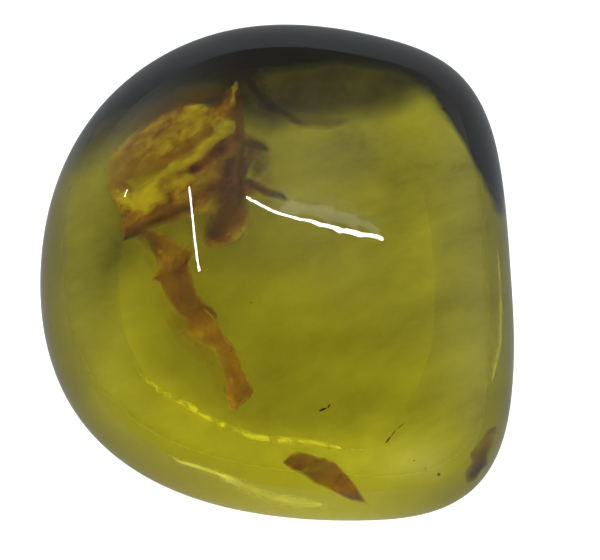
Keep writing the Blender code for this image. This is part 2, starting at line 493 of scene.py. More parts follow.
# The lamps that the dome mirrors, and what glows beside one of them: name, brightness, the
# points in metres from the stone that each is laid through, and its width from leg to leg.
LAMPS = [
    (
        "left_tube",
        45,
        [(-0.384, 0.474, 0.812), (-0.365, 0.330, 0.888), (-0.337, 0.159, 0.944)],
        [0.009, 0.010],
    ),
    (
        "middle_tube",
        45,
        [
            (-0.123, 0.4215, 0.9134),
            (-0.0274, 0.3700, 0.9435),
            (0.0126, 0.3503, 0.9505),
            (0.0876, 0.3118, 0.9602),
            (0.1789, 0.3026, 0.9501),
            (0.2712, 0.3018, 0.9278),
            (0.3685, 0.3050, 0.8938),
            (0.4850, 0.3087, 0.8347),
        ],
        [0.010, 0.009, 0.0078, 0.0054, 0.0035, 0.0022, 0.0014],
    ),
    (
        "tube_reflector",
        1.3,
        [
            (0.0120, 0.3850, 0.9310),
            (0.0800, 0.3500, 0.9500),
            (0.2400, 0.3170, 0.9350),
            (0.3600, 0.3125, 0.8940),
            (0.4700, 0.3095, 0.8440),
        ],
        [0.055, 0.036, 0.016, 0.006],
    ),
    (
        "tube_glow",
        0.35,
        [
            (-0.020, 0.420, 0.920),
            (0.0800, 0.3900, 0.9360),
            (0.2300, 0.3400, 0.9300),
            (0.3500, 0.3230, 0.8920),
            (0.4400, 0.3160, 0.8560),
        ],
        [0.11, 0.075, 0.034, 0.012],
    ),
    ("far_lamp", 30, [(-0.700, 0.497, 0.547), (-0.714, 0.464, 0.546)], [0.010]),
]

# The floor card: its radius in metres, how far it lies under the flat spot, and its mottle.
CARD_RADIUS = 1.5
CARD_GAP = 0.25 * MM
CARD_MOTTLE = 1.5 * MM

# The photograph: its width in pixels, how many of them make a millimetre, and the place in
# its middle. The camera stands at the front, at this elevation in degrees and this distance.
# It has a full-frame sensor, in millimetres, and sees nothing nearer than the last value.
PHOTO_WIDTH = 600
PIXELS_PER_MM = 14.84
VIEW_X = 1.6 * MM
VIEW_Y = -0.7 * MM
VIEW_LEVEL = 5 * MM
CAMERA_ELEVATION = 74
CAMERA_DISTANCE = 0.25
SENSOR_WIDTH = 36
NEAREST_SEEN = 0.01


def linear(colour):
    """An sRGB hex colour as linear red, green, blue and alpha."""
    channels = [int(colour[i : i + 2], 16) / 255 for i in (0, 2, 4)]
    values = [c / 12.92 if c <= 0.04045 else ((c + 0.055) / 1.055) ** 2.4 for c in channels]
    return (*values, 1)


def add_node(tree, kind, settings=None, inputs=None):
    """Adds a node, sets its properties, and fills or links its sockets."""
    node = tree.nodes.new("ShaderNode" + kind)
    for name, value in (settings or {}).items():
        setattr(node, name, value)
    for name, value in (inputs or {}).items():
        if isinstance(value, bpy.types.NodeSocket):
            tree.links.new(value, node.inputs[name])
        else:
            node.inputs[name].default_value = value
    return node


def new_material(name):
    """An empty material, its nodes and its output."""
    material = bpy.data.materials.new(name)
    material.use_nodes = True
    tree = material.node_tree
    tree.nodes.clear()
    return material, tree, add_node(tree, "OutputMaterial")


def colour_ramp(tree, factor, stops):
    """A ramp through hex colours at the places given."""
    ramp = add_node(tree, "ValToRGB", inputs={"Fac": factor})
    elements = ramp.color_ramp.elements
    while len(elements) < len(stops):
        elements.new(0.5)
    for element, (place, colour) in zip(elements, stops):
        element.position = place
        element.color = linear(colour)
    return ramp.outputs["Color"]


def closed_spline(stations):
    """Returns radius(angle) in metres, smooth in curvature too, through all the stations."""
    angles = np.radians([degrees for degrees, _ in stations])
    radii = np.array([radius for _, radius in stations]) * MM
    spans = np.diff(angles, append=angles[0] + math.tau)
    slopes = np.diff(radii, append=radii[0]) / spans
    count = len(stations)
    system = np.zeros((count, count))
    for i in range(count):
        system[i, i - 1] = spans[i - 1]
        system[i, i] = 2 * (spans[i - 1] + spans[i])
        system[i, (i + 1) % count] = spans[i]
    bends = np.linalg.solve(system, 6 * (slopes - np.roll(slopes, 1)))

    def radius(angle):
        angle = angle % math.tau
        i = int(np.searchsorted(angles, angle, side="right")) - 1
        j = (i + 1) % count
        span = spans[i]
        after = angle - angles[i]
        before = span - after
        bow = (bends[i] * before**3 + bends[j] * after**3) / (6 * span)
        start = (radii[i] / span - bends[i] * span / 6) * before
        end = (radii[j] / span - bends[j] * span / 6) * after
        return bow + start + end

    return radius


OUTLINE_RADIUS = closed_spline(OUTLINE_STATIONS)


def outline_middle():
    """The middle of the box round the solids' outline, which lies over the origin."""
    turns = [math.tau * i / SOLID_SEGMENTS for i in range(SOLID_SEGMENTS)]
    xs = [OUTLINE_RADIUS(turn) * math.cos(turn) for turn in turns]
    ys = [OUTLINE_RADIUS(turn) * math.sin(turn) for turn in turns]
    return (min(xs) + max(xs)) / 2, (min(ys) + max(ys)) / 2


MIDDLE_X, MIDDLE_Y = outline_middle()


def dome_level(x, y):
    """Height of the polished dome over a place."""
    far_x = x + MIDDLE_X
    far_y = y + MIDDLE_Y
    reach = math.hypot(far_x, far_y) / OUTLINE_RADIUS(math.atan2(far_y, far_x))
    return GIRDLE_LEVEL + (HEIGHT - GIRDLE_LEVEL) * math.sqrt(max(0, 1 - reach**CROWN_POWER))


def finish_piece(name, bm, material, smooth=180):
    """Turns a bmesh into a piece on the stone's body, smooth up to an angle in degrees."""
    mesh = bpy.data.meshes.new(name)
    bm.to_mesh(mesh)
    bm.free()
    mesh.shade_smooth()
    mesh.set_sharp_from_angle(angle=math.radians(smooth))
    mesh.materials.append(material)
    piece = bpy.data.objects.new(name, mesh)
    bpy.context.scene.collection.objects.link(piece)
    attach(piece, "root")
    return piece


def add_stone(material):
    """The polished stone in one piece: a sphere drawn out to the outline, with its flat spot."""
    bm = bmesh.new()
    bmesh.ops.create_uvsphere(bm, u_segments=STONE_SEGMENTS, v_segments=STONE_RINGS, radius=1)
    for vert in bm.verts:
        angle = math.atan2(vert.co.y, vert.co.x)
        reach = math.hypot(vert.co.x, vert.co.y)
        above = vert.co.z > 0
        power = CROWN_POWER if above else UNDER_POWER
        rise = HEIGHT - GIRDLE_LEVEL if above else UNDER_DEPTH
        radius = OUTLINE_RADIUS(angle) * reach ** (2 / power)
        vert.co.x = radius * math.cos(angle) - MIDDLE_X
        vert.co.y = radius * math.sin(angle) - MIDDLE_Y
        vert.co.z = GIRDLE_LEVEL + rise * vert.co.z
    cut = bmesh.ops.bisect_plane(
        bm,
        geom=bm.verts[:] + bm.edges[:] + bm.faces[:],
        plane_co=(0, 0, 0),
        plane_no=(0, 0, -1),
        clear_outer=True,
    )
    rim = [item for item in cut["geom_cut"] if isinstance(item, bmesh.types.BMEdge)]
    bmesh.ops.edgenet_fill(bm, edges=rim)
    bmesh.ops.recalc_face_normals(bm, faces=bm.faces)
    stone = finish_piece("amber_stone", bm, material, CRISP_ANGLE)
    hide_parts("amber_crown", "amber_base")


def distance_to(x, y, line, closed=False):
    """Distance in millimetres from a place to a line of points."""
    following = line[1:] + line[:1] if closed else line[1:]
    nearest = math.inf
    for (ax, ay), (bx, by) in zip(line, following):
        span_x = bx - ax
        span_y = by - ay
        along = ((x - ax) * span_x + (y - ay) * span_y) / (span_x**2 + span_y**2)
        along = min(1, max(0, along))
        nearest = min(nearest, math.hypot(x - ax - along * span_x, y - ay - along * span_y))
    return nearest


def inside(x, y, outline):
    """True if a place lies within a closed outline."""
    crossings = 0
    for (ax, ay), (bx, by) in zip(outline, outline[1:] + outline[:1]):
        if (ay > y) != (by > y) and x < ax + (bx - ax) * (y - ay) / (by - ay):
            crossings += 1
    return crossings % 2 == 1


def rise_of(x, y, lines):
    """How strongly a set of ridges or creases acts at a place."""
    total = 0
    for strength, width, line in lines:
        total += strength * math.exp(-((distance_to(x, y, line) / width) ** 2))
    return total


def crumpled_sheet(name, node, outline, ridges, creases, relief, cell, material, seed):
    """A thin torn sheet that stands up along its ridges and dips along its creases.

    It is worked in millimetres and scaled down at the end. It is cut into cells so that it can
    fold, and relief sets how high it stands.
    """
    bm = bmesh.new()
    xs = [x for x, _ in outline]
    ys = [y for _, y in outline]
    rim = [bm.verts.new((x, y, 0)) for x, y in outline]
    bm.faces.new(rim)
    for axis, values in ((0, xs), (1, ys)):
        normal = [0, 0, 0]
        normal[axis] = 1
        steps = math.ceil((max(values) - min(values)) / cell)
        for step in range(1, steps):
            place = [0, 0, 0]
            place[axis] = min(values) + step * cell
            bmesh.ops.bisect_plane(
                bm,
                geom=bm.verts[:] + bm.edges[:] + bm.faces[:],
                dist=CUT_SNAP,
                plane_co=place,
                plane_no=normal,
            )
    fold = bm.verts.layers.float.new("fold")
    cover = bm.verts.layers.float.new("cover")
    for vert in bm.verts:
        x = vert.co.x
        y = vert.co.y
        # The fold also paints ridges paler and creases darker in the debris colour: painted highlight and
        # painted shade.
        vert[fold] = rise_of(x, y, ridges) - rise_of(x, y, creases)
        vert[cover] = distance_to(x, y, outline, closed=True)
        spot = Vector((x, y, seed)) * CRUMPLES_PER_MM
        crumple = noise.fractal(spot, CRUMPLE_FADE, CRUMPLE_SHRINK, CRUMPLE_SIZES)
        rise = FOLD_SHARE * vert[fold] + CRUMPLE_SHARE * crumple
        vert.co.z = GIRDLE_LEVEL / MM + relief * rise
        vert.co.x = x - MIDDLE_X / MM
        vert.co.y = y - MIDDLE_Y / MM
    bmesh.ops.scale(bm, verts=bm.verts, vec=(MM, MM, MM))
    bmesh.ops.recalc_face_normals(bm, faces=bm.faces)
    piece = finish_piece(name, bm, material)
    solidify = piece.modifiers.new("thickness", "SOLIDIFY")
    solidify.thickness = SHEET_THICKNESS
    solidify.offset = 0
    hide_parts(node)


def signed_distance(x, y, outline):
    """Distance in millimetres to an outline, positive inside it."""
    side = 1 if inside(x, y, outline) else -1
    return side * distance_to(x, y, outline, closed=True)


def add_painted_shade_skin(material):
    """A sheet of painted shade: a thin dark layer just inside the underside, lying level where it
    meets the flat spot.

    Its edge is crisp at the right and fades out over some millimetres at the left.
    """
    bm = bmesh.new()
    bmesh.ops.create_uvsphere(bm, u_segments=SKIN_SEGMENTS, v_segments=SKIN_RINGS, radius=1)
    for vert in bm.verts:
        angle = math.atan2(vert.co.y, vert.co.x)
        reach = math.hypot(vert.co.x, vert.co.y)
        radius = (OUTLINE_RADIUS(angle) - SKIN_DEPTH) * reach ** (2 / UNDER_POWER)
        vert.co.x = radius * math.cos(angle) - MIDDLE_X
        vert.co.y = radius * math.sin(angle) - MIDDLE_Y
        vert.co.z = GIRDLE_LEVEL + (UNDER_DEPTH - SKIN_DEPTH) * vert.co.z
        vert.co.z = max(vert.co.z, SKIN_DEPTH)
    cover = bm.verts.layers.float.new("cover")
    depth = bm.verts.layers.float.new("depth")
    gone = []
    for vert in bm.verts:
        x = (vert.co.x + MIDDLE_X) / MM
        y = (vert.co.y + MIDDLE_Y) / MM
        softness = float(np.interp(x, SKIN_SOFTNESS_X, SKIN_SOFTNESS))
        within = signed_distance(x, y, SKIN_OUTLINE)
        vert[cover] = within / softness
        vert[depth] = signed_distance(x, y, SKIN_CORE) / softness
        if within < -softness or vert.co.z > GIRDLE_LEVEL - SKIN_END:
            gone.append(vert)
    bmesh.ops.delete(bm, geom=gone, context="VERTS")
    finish_piece("painted_shade_skin", bm, material)


def add_seam(name, points, width, depth, highest, material):
    """A narrow band in the stone, soft along its edges and tapered towards its ends.

    It follows the dome at a depth under it, and stays below the highest level it may reach.
    """
    bm = bmesh.new()
    bmesh.ops.create_grid(bm, x_segments=SEAM_CELLS * len(points), y_segments=SEAM_ROWS, size=1)
    cover = bm.verts.layers.float.new("cover")
    path = np.array(points)
    steps = np.arange(len(points))
    courses = np.gradient(path, axis=0)
    for vert in bm.verts:
        along = (vert.co.x + 1) / 2
        place = along * steps[-1]
        x = np.interp(place, steps, path[:, 0])
        y = np.interp(place, steps, path[:, 1])
        course_x = np.interp(place, steps, courses[:, 0])
        course_y = np.interp(place, steps, courses[:, 1])
        near_end = min(along, 1 - along)
        taper = min(1, SEAM_END_WIDTH + SEAM_WIDENING * near_end)
        aside = vert.co.y * taper * width / 2 / math.hypot(course_x, course_y)
        vert[cover] = (1 - abs(vert.co.y)) * min(1, SEAM_FADE * near_end)
        vert.co.x = (x - aside * course_y) * MM - MIDDLE_X
        vert.co.y = (y + aside * course_x) * MM - MIDDLE_Y
        vert.co.z = min(highest, dome_level(vert.co.x, vert.co.y) - depth)
    finish_piece(name, bm, material)


def add_grit(material):
    """Small dark grains, each a pebble of a few faces drawn out along its length."""
    bm = bmesh.new()
    for x, y, length, width, degrees in GRIT:
        turn = Matrix.Rotation(math.radians(degrees), 4, "Z")
        size = Matrix.Diagonal((length / 2 * MM, width / 2 * MM, width / 2 * MM, 1))
        place = Matrix.Translation((x * MM - MIDDLE_X, y * MM - MIDDLE_Y, GIRDLE_LEVEL))
        bmesh.ops.create_icosphere(bm, subdivisions=2, radius=1, matrix=place @ turn @ size)
    finish_piece("sealed_grit", bm, material, GRIT_CRISP_ANGLE)


def clear_amber():
    """Hand-polished amber, glass clear inside, ground matte on the flat spot it rests on.

    It gives a wet gloss, lamps that wobble a little, and an olive-yellow depth. The underside
    keeps a thin brown stain in drawn-out clouds, which mottle the light through it. It is also
    darkened towards the back right, again at the left end and a little at the front right: painted
    shade.
    """
    material, tree, output = new_material("hand_polished_amber")
    place = add_node(tree, "TexCoord")
    waves = add_node(
        tree,
        "TexNoise",
        inputs={"Vector": place.outputs["Object"], "Scale": 1 / WAVE_LENGTH, "Detail": 1.0},
    )
    bump = add_node(
        tree,
        "Bump",
        inputs={"Strength": 1.0, "Distance": WAVE_DEPTH, "Height": waves.outputs["Fac"]},
    )
    # From the ground flat spot up to the dull underside, and from there to the polished dome.
    level = add_node(tree, "SeparateXYZ", inputs={"Vector": place.outputs["Object"]})
    ground = add_node(
        tree,
        "MapRange",
        inputs={
            "Value": level.outputs["Z"],
            "From Min": 0.02 * MM,
            "From Max": 0.06 * MM,
            "To Min": GROUND_ROUGHNESS,
            "To Max": UNDER_ROUGHNESS,
        },
    )
    gloss = add_node(
        tree,
        "MapRange",
        inputs={
            "Value": level.outputs["Z"],
            "From Min": 3.0 * MM,
            "From Max": 5.2 * MM,
            "To Min": ground.outputs["Result"],
            "To Max": 0.0,
        },
    )
    # How light the underside's tint is: it falls in patches and clouds of stain, and towards the
    # back right as painted shade.
    across = add_node(
        tree,
        "VectorMath",
        {"operation": "DOT_PRODUCT"},
        {0: place.outputs["Object"], 1: (-0.3 / SHADE_REACH, -0.15 / SHADE_REACH, 0)},
    )
    patch = add_node(
        tree,
        "TexNoise",
        inputs={"Vector": place.outputs["Object"], "Scale": 1 / STAIN_PATCH, "Detail": 3.0},
    )
    patches_and_shade = add_node(
        tree,
        "Math",
        {"operation": "MULTIPLY_ADD"},
        {0: patch.outputs["Fac"], 1: 0.4, 2: across.outputs["Value"]},
    )
    drawn = add_node(
        tree,
        "Mapping",
        {"vector_type": "TEXTURE"},
        {"Vector": place.outputs["Object"], "Rotation": CLOUD_TURN, "Scale": CLOUD_STRETCH},
    )
    cloud = add_node(
        tree,
        "TexNoise",
        inputs={
            "Vector": drawn.outputs["Vector"],
            "Scale": 1 / STAIN_CLOUD,
            "Detail": 6.0,
            "Roughness": 0.65,
        },
    )
    clouds_and_shade = add_node(
        tree,
        "Math",
        {"operation": "MULTIPLY_ADD"},
        {0: cloud.outputs["Fac"], 1: 1.3, 2: patches_and_shade.outputs["Value"]},
    )
    # It falls again at the left end, and a little at the front right, as painted shade.
    toward_left = add_node(
        tree,
        "VectorMath",
        {"operation": "DOT_PRODUCT"},
        {0: place.outputs["Object"], 1: (-1, 0.3, 0)},
    )
    left_end_shade = add_node(
        tree,
        "MapRange",
        {"interpolation_type": "SMOOTHSTEP"},
        {
            "Value": toward_left.outputs["Value"],
            "From Min": 7.4 * MM,
            "From Max": 9.6 * MM,
            "To Min": -0.32,
            "To Max": -0.78,
        },
    )
    toward_front_right = add_node(
        tree,
        "VectorMath",
        {"operation": "DOT_PRODUCT"},
        {0: place.outputs["Object"], 1: (1, -0.7, 0)},
    )
    front_right_shade = add_node(
        tree,
        "MapRange",
        {"interpolation_type": "SMOOTHSTEP"},
        {
            "Value": toward_front_right.outputs["Value"],
            "From Min": 12.5 * MM,
            "From Max": 20 * MM,
            "To Max": -0.1,
        },
    )
    ends = add_node(
        tree,
        "Math",
        {"operation": "ADD"},
        {0: left_end_shade.outputs["Result"], 1: front_right_shade.outputs["Result"]},
    )
    stain_and_shade_lightness = add_node(
        tree,
        "Math",
        {"operation": "ADD"},
        {0: clouds_and_shade.outputs["Value"], 1: ends.outputs["Value"]},
    )
    # The stain's colour, darkened further by the painted shade.
    stain = colour_ramp(
        tree,
        stain_and_shade_lightness.outputs["Value"],
        [(0.1, "908f70"), (0.22, "b8b79c"), (0.45, "dcdbc4"), (0.8, "ffffff")],
    )
    # The polished dome has no stain and no painted shade.
    polished = add_node(
        tree,
        "MapRange",
        inputs={"Value": level.outputs["Z"], "From Min": 4.6 * MM, "From Max": 5.0 * MM},
    )
    tint = add_node(
        tree,
        "Mix",
        {"data_type": "RGBA"},
        {0: polished.outputs["Result"], 6: stain, 7: linear("ffffff")},
    )
    shader = add_node(
        tree,
        "BsdfPrincipled",
        inputs={
            "Base Color": tint.outputs[2],
            "Roughness": gloss.outputs["Result"],
            "IOR": AMBER_IOR,
            "Transmission Weight": 1.0,
            "Normal": bump.outputs["Normal"],
        },
    )
    depth = add_node(
        tree,
        "VolumeAbsorption",
        inputs={"Color": linear(DEPTH_COLOUR), "Density": DEPTH_DENSITY},
    )
    tree.links.new(shader.outputs["BSDF"], output.inputs["Surface"])
    tree.links.new(depth.outputs["Volume"], output.inputs["Volume"])
    return material


def thin_debris(name, stops, filters, solid_share, edge_width, grain):
    """Thin plant matter: part of it is a dull surface, the rest only tints the light.

    Its edge width and the grain of its blots are in millimetres.
    """
    material, tree, output = new_material(name)
    place = add_node(tree, "TexCoord")
    fold = add_node(tree, "Attribute", {"attribute_name": "fold"})
    cover = add_node(tree, "Attribute", {"attribute_name": "cover"})
    drawn = add_node(
        tree,
        "Mapping",
        {"vector_type": "TEXTURE"},
        {"Vector": place.outputs["Object"], "Rotation": WRINKLE_TURN, "Scale": WRINKLE_STRETCH},
    )
    stain = add_node(
        tree,
        "TexNoise",
        inputs={
            "Vector": drawn.outputs["Vector"],
            "Scale": 1 / (grain * MM),
            "Detail": 5.0,
            "Roughness": 0.6,
        },
    )
    blot = add_node(
        tree,
        "Math",
        {"operation": "MULTIPLY_ADD"},
        {0: stain.outputs["Fac"], 1: BLOT_SPREAD, 2: BLOT_START},
    )
    # Ridges are painted paler and creases darker: painted highlight and painted shade, over the blots.
    tone = add_node(
        tree,
        "Math",
        {"operation": "MULTIPLY_ADD", "use_clamp": True},
        {0: fold.outputs["Fac"], 1: RIDGE_PAINTED_LIGHT, 2: blot.outputs["Value"]},
    )
    surface = colour_ramp(tree, tone.outputs["Value"], stops)
    tint = colour_ramp(tree, tone.outputs["Value"], filters)
    # A ragged edge that fades out, round matter that is thinner in places.
    edge = add_node(
        tree,
        "Math",
        {"operation": "MULTIPLY_ADD"},
        {0: stain.outputs["Fac"], 1: 1.2 * edge_width, 2: cover.outputs["Fac"]},
    )
    soft = add_node(
        tree,
        "MapRange",
        {"interpolation_type": "SMOOTHSTEP"},
        {
            "Value": edge.outputs["Value"],
            "From Min": 0.4 * edge_width,
            "From Max": 1.1 * edge_width,
        },
    )
    gather = add_node(
        tree,
        "TexNoise",
        inputs={"Vector": drawn.outputs["Vector"], "Scale": 1 / (1.5 * grain * MM), "Detail": 3.0},
    )
    thick = add_node(
        tree,
        "MapRange",
        {"interpolation_type": "SMOOTHSTEP"},
        {"Value": gather.outputs["Fac"], "From Min": 0.35, "From Max": 0.6, "To Min": 0.5},
    )
    present = add_node(
        tree,
        "Math",
        {"operation": "MULTIPLY"},
        {0: soft.outputs["Result"], 1: thick.outputs["Result"]},
    )
    bump = add_node(
        tree,
        "Bump",
        inputs={"Strength": 0.6, "Distance": 0.05 * MM, "Height": stain.outputs["Fac"]},
    )
    body = add_node(
        tree,
        "BsdfPrincipled",
        inputs={
            "Base Color": surface,
            "Roughness": 0.65,
            "IOR": SEALED_IOR,
            "Normal": bump.outputs["Normal"],
        },
    )
    film = add_node(tree, "BsdfTransparent", inputs={"Color": tint})
    clear = add_node(tree, "BsdfTransparent")
    sheet = add_node(
        tree,
        "MixShader",
        inputs={0: solid_share, 1: film.outputs["BSDF"], 2: body.outputs["BSDF"]},
    )
    shown = add_node(
        tree,
        "MixShader",
        inputs={0: present.outputs["Value"], 1: clear.outputs["BSDF"], 2: sheet.outputs["Shader"]},
    )
    tree.links.new(shown.outputs["Shader"], output.inputs["Surface"])
    return material


def painted_shade_skin():
    """A dark, dull, mottled sheet of painted shade, fading out where it ends."""
    material, tree, output = new_material("dark_painted_shade")
    place = add_node(tree, "TexCoord")
    cover = add_node(tree, "Attribute", {"attribute_name": "cover"})
    depth = add_node(tree, "Attribute", {"attribute_name": "depth"})
    mottle = add_node(
        tree,
        "TexNoise",
        inputs={
            "Vector": place.outputs["Object"],
            "Scale": 1 / SKIN_MOTTLE,
            "Detail": 5.0,
            "Roughness": 0.6,
        },
    )
    edge = add_node(
        tree,
        "Math",
        {"operation": "MULTIPLY_ADD"},
        {0: mottle.outputs["Fac"], 1: 0.7, 2: cover.outputs["Fac"]},
    )
    fade_out = add_node(
        tree,
        "MapRange",
        {"interpolation_type": "SMOOTHSTEP"},
        {"Value": edge.outputs["Value"], "From Min": -0.3, "From Max": 1.0},
    )
    core = add_node(
        tree,
        "MapRange",
        {"interpolation_type": "SMOOTHSTEP"},
        {"Value": depth.outputs["Fac"], "From Min": -1.6, "From Max": 0.3},
    )
    thickness = add_node(
        tree,
        "MapRange",
        inputs={
            "Value": mottle.outputs["Fac"],
            "From Min": 0.3,
            "From Max": 0.7,
            "To Min": 0.92,
            "To Max": 0.78,
        },
    )
    density = add_node(
        tree,
        "Math",
        {"operation": "MAXIMUM"},
        {0: core.outputs["Result"], 1: thickness.outputs["Result"]},
    )
    alpha = add_node(
        tree,
        "Math",
        {"operation": "MULTIPLY"},
        {0: fade_out.outputs["Result"], 1: density.outputs["Value"]},
    )
    # Dark brown, near black in the core: painted shade.
    shade_tone = colour_ramp(tree, mottle.outputs["Fac"], [(0.3, "3a3018"), (0.7, "4e4220")])
    dark = add_node(
        tree,
        "Mix",
        {"data_type": "RGBA"},
        {0: core.outputs["Result"], 6: shade_tone, 7: linear("17160f")},
    )
    body = add_node(
        tree,
        "BsdfPrincipled",
        inputs={
            "Base Color": dark.outputs[2],
            "Roughness": 0.7,
            "IOR": SEALED_IOR,
            "Alpha": alpha.outputs["Value"],
        },
    )
    tree.links.new(body.outputs["BSDF"], output.inputs["Surface"])
    return material


def thin_seam(name, stops, grain, gap, strength):
    """A painted glint, a painted lamp reflection, a pale fibre or plant dust along a seam: dull, and
    lit from both sides.

    Clear amber breaks it into dashes or lets it fade away. Its grain is in millimetres, and the
    gap is how much of the noise stays clear.
    """
    material, tree, output = new_material(name)
    place = add_node(tree, "TexCoord")
    cover = add_node(tree, "Attribute", {"attribute_name": "cover"})
    crumbs = add_node(
        tree,
        "TexNoise",
        inputs={"Vector": place.outputs["Object"], "Scale": 1 / (grain * MM), "Detail": 3.0},
    )
    broken = add_node(
        tree,
        "MapRange",
        {"interpolation_type": "SMOOTHSTEP"},
        {"Value": crumbs.outputs["Fac"], "From Min": gap, "From Max": gap + 0.2, "To Max": strength},
    )
    soft = add_node(
        tree,
        "MapRange",
        {"interpolation_type": "SMOOTHSTEP"},
        {"Value": cover.outputs["Fac"]},
    )
    alpha = add_node(
        tree,
        "Math",
        {"operation": "MULTIPLY"},
        {0: broken.outputs["Result"], 1: soft.outputs["Result"]},
    )
    powder = colour_ramp(tree, crumbs.outputs["Fac"], stops)
    near = add_node(
        tree,
        "BsdfPrincipled",
        inputs={"Base Color": powder, "Roughness": 0.8, "IOR": SEALED_IOR},
    )
    through = add_node(tree, "BsdfTranslucent", inputs={"Color": powder})
    clear = add_node(tree, "BsdfTransparent")
    crushed = add_node(
        tree,
        "MixShader",
        inputs={0: 0.6, 1: near.outputs["BSDF"], 2: through.outputs["BSDF"]},
    )
    shown = add_node(
        tree,
        "MixShader",
        inputs={0: alpha.outputs["Value"], 1: clear.outputs["BSDF"], 2: crushed.outputs["Shader"]},
    )
    tree.links.new(shown.outputs["Shader"], output.inputs["Surface"])
    return material


def charred_grit():
    """Grains of soil and char: nearly black, dull, with a trace of brown."""
    material, tree, output = new_material("charred_grit")
    place = add_node(tree, "TexCoord")
    speckle = add_node(
        tree,
        "TexNoise",
        inputs={"Vector": place.outputs["Object"], "Scale": 1 / GRIT_SPECKLE, "Detail": 2.0},
    )
    tone = colour_ramp(tree, speckle.outputs["Fac"], [(0.35, "17120c"), (0.65, "3a2c18")])
    body = add_node(
        tree,
        "BsdfPrincipled",
        inputs={"Base Color": tone, "Roughness": 0.8, "IOR": SEALED_IOR},
    )
    tree.links.new(body.outputs["BSDF"], output.inputs["Surface"])
    return material


def in_the_gloss(tree):
    """1 for what is mirrored in a gloss, and 0 for what is seen straight or through the stone."""
    path = add_node(tree, "LightPath")
    return add_node(
        tree,
        "Math",
        {"operation": "MULTIPLY"},
        {0: path.outputs["Is Glossy Ray"], 1: path.outputs["Is Reflection Ray"]},
    ).outputs["Value"]


def pale_card():
    """Matte white card, with the faint mottle of its fibres.

    The gloss sees it dimmed, as it sees the room.
    """
    material, tree, output = new_material("matte_white_card")
    place = add_node(tree, "TexCoord")
    mottle = add_node(
        tree,
        "TexNoise",
        inputs={"Vector": place.outputs["Object"], "Scale": 1 / CARD_MOTTLE, "Detail": 3.0},
    )
    tone = colour_ramp(tree, mottle.outputs["Fac"], [(0.3, "eeeeec"), (0.7, "f2f2f0")])
    dimmed = add_node(
        tree,
        "Mix",
        {"data_type": "RGBA"},
        {0: in_the_gloss(tree), 6: tone, 7: linear("707478")},
    )
    shader = add_node(
        tree,
        "BsdfPrincipled",
        inputs={"Base Color": dimmed.outputs[2], "Roughness": 0.9, "Specular IOR Level": 0.0},
    )
    tree.links.new(shader.outputs["BSDF"], output.inputs["Surface"])
    return material


def add_card():
    """The floor: a wide sheet of card just under the flat spot."""
    bm = bmesh.new()
    bmesh.ops.create_circle(bm, cap_ends=True, segments=96, radius=CARD_RADIUS)
    for vert in bm.verts:
        vert.co.z = -CARD_GAP
    mesh = bpy.data.meshes.new("card")
    bm.to_mesh(mesh)
    bm.free()
    mesh.materials.append(pale_card())
    card = bpy.data.objects.new("card", mesh)
    bpy.context.scene.collection.objects.link(card)


def direction(azimuth, elevation):
    """A direction from the stone, with azimuth 0 at the back and 90 at the right."""
    turn = math.radians(azimuth)
    lift = math.radians(elevation)
    return Vector((math.sin(turn) * math.cos(lift), math.cos(turn) * math.cos(lift), math.sin(lift)))


def lobe_sum(tree, place, grey, lobes):
    """Adds up wide soft patches of light over an even grey."""
    total = grey
    for azimuth, elevation, power, strength in lobes:
        facing = add_node(
            tree,
            "VectorMath",
            {"operation": "DOT_PRODUCT"},
            {0: place, 1: direction(azimuth, elevation)},
        )
        lit = add_node(tree, "Math", {"operation": "MAXIMUM"}, {0: facing.outputs["Value"], 1: 0})
        lobe = add_node(tree, "Math", {"operation": "POWER"}, {0: lit.outputs["Value"], 1: power})
        total = add_node(
            tree,
            "Math",
            {"operation": "MULTIPLY_ADD"},
            {0: lobe.outputs["Value"], 1: strength, 2: total},
        ).outputs["Value"]
    return total


def add_room_light():
    """Soft room light: wide patches of light with no edges.

    The gloss sees a darker room than the light comes from, as through a polarising filter.
    """
    world = bpy.data.worlds.new("room")
    bpy.context.scene.world = world
    world.use_nodes = True
    tree = world.node_tree
    tree.nodes.clear()
    place = add_node(tree, "TexCoord").outputs["Generated"]
    light = lobe_sum(tree, place, 0.0, ROOM_LOBES)
    gloss = lobe_sum(tree, place, GLOSS_GREY, GLOSS_LOBES)
    strength = add_node(
        tree,
        "Mix",
        {"data_type": "FLOAT"},
        {0: in_the_gloss(tree), 2: light, 3: gloss},
    )
    background = add_node(
        tree,
        "Background",
        inputs={"Color": linear("ffffff"), "Strength": strength.outputs[0]},
    )
    output = add_node(tree, "OutputWorld")
    tree.links.new(background.outputs["Background"], output.inputs["Surface"])


def add_tube(name, radiance, points, widths):
    """A tube lamp, laid leg by leg through points, each leg facing the stone.

    A flat lamp gives its radiance times pi times its area.
    """
    for number, (start, end, width) in enumerate(zip(points, points[1:], widths)):
        start = Vector(start)
        end = Vector(end)
        length = (end - start).length
        middle = (start + end) / 2
        light = bpy.data.lights.new(name, "AREA")
        light.shape = "RECTANGLE"
        light.size = length
        light.size_y = width
        light.energy = radiance * math.pi * length * width
        along = (end - start).normalized()
        back = middle.normalized()
        back = (back - along * back.dot(along)).normalized()
        across = back.cross(along)
        lamp = bpy.data.objects.new(f"{name}_{number}", light)
        lamp.matrix_world = Matrix(
            (
                (along.x, across.x, back.x, middle.x),
                (along.y, across.y, back.y, middle.y),
                (along.z, across.z, back.z, middle.z),
                (0, 0, 0, 1),
            )
        )
        bpy.context.scene.collection.objects.link(lamp)


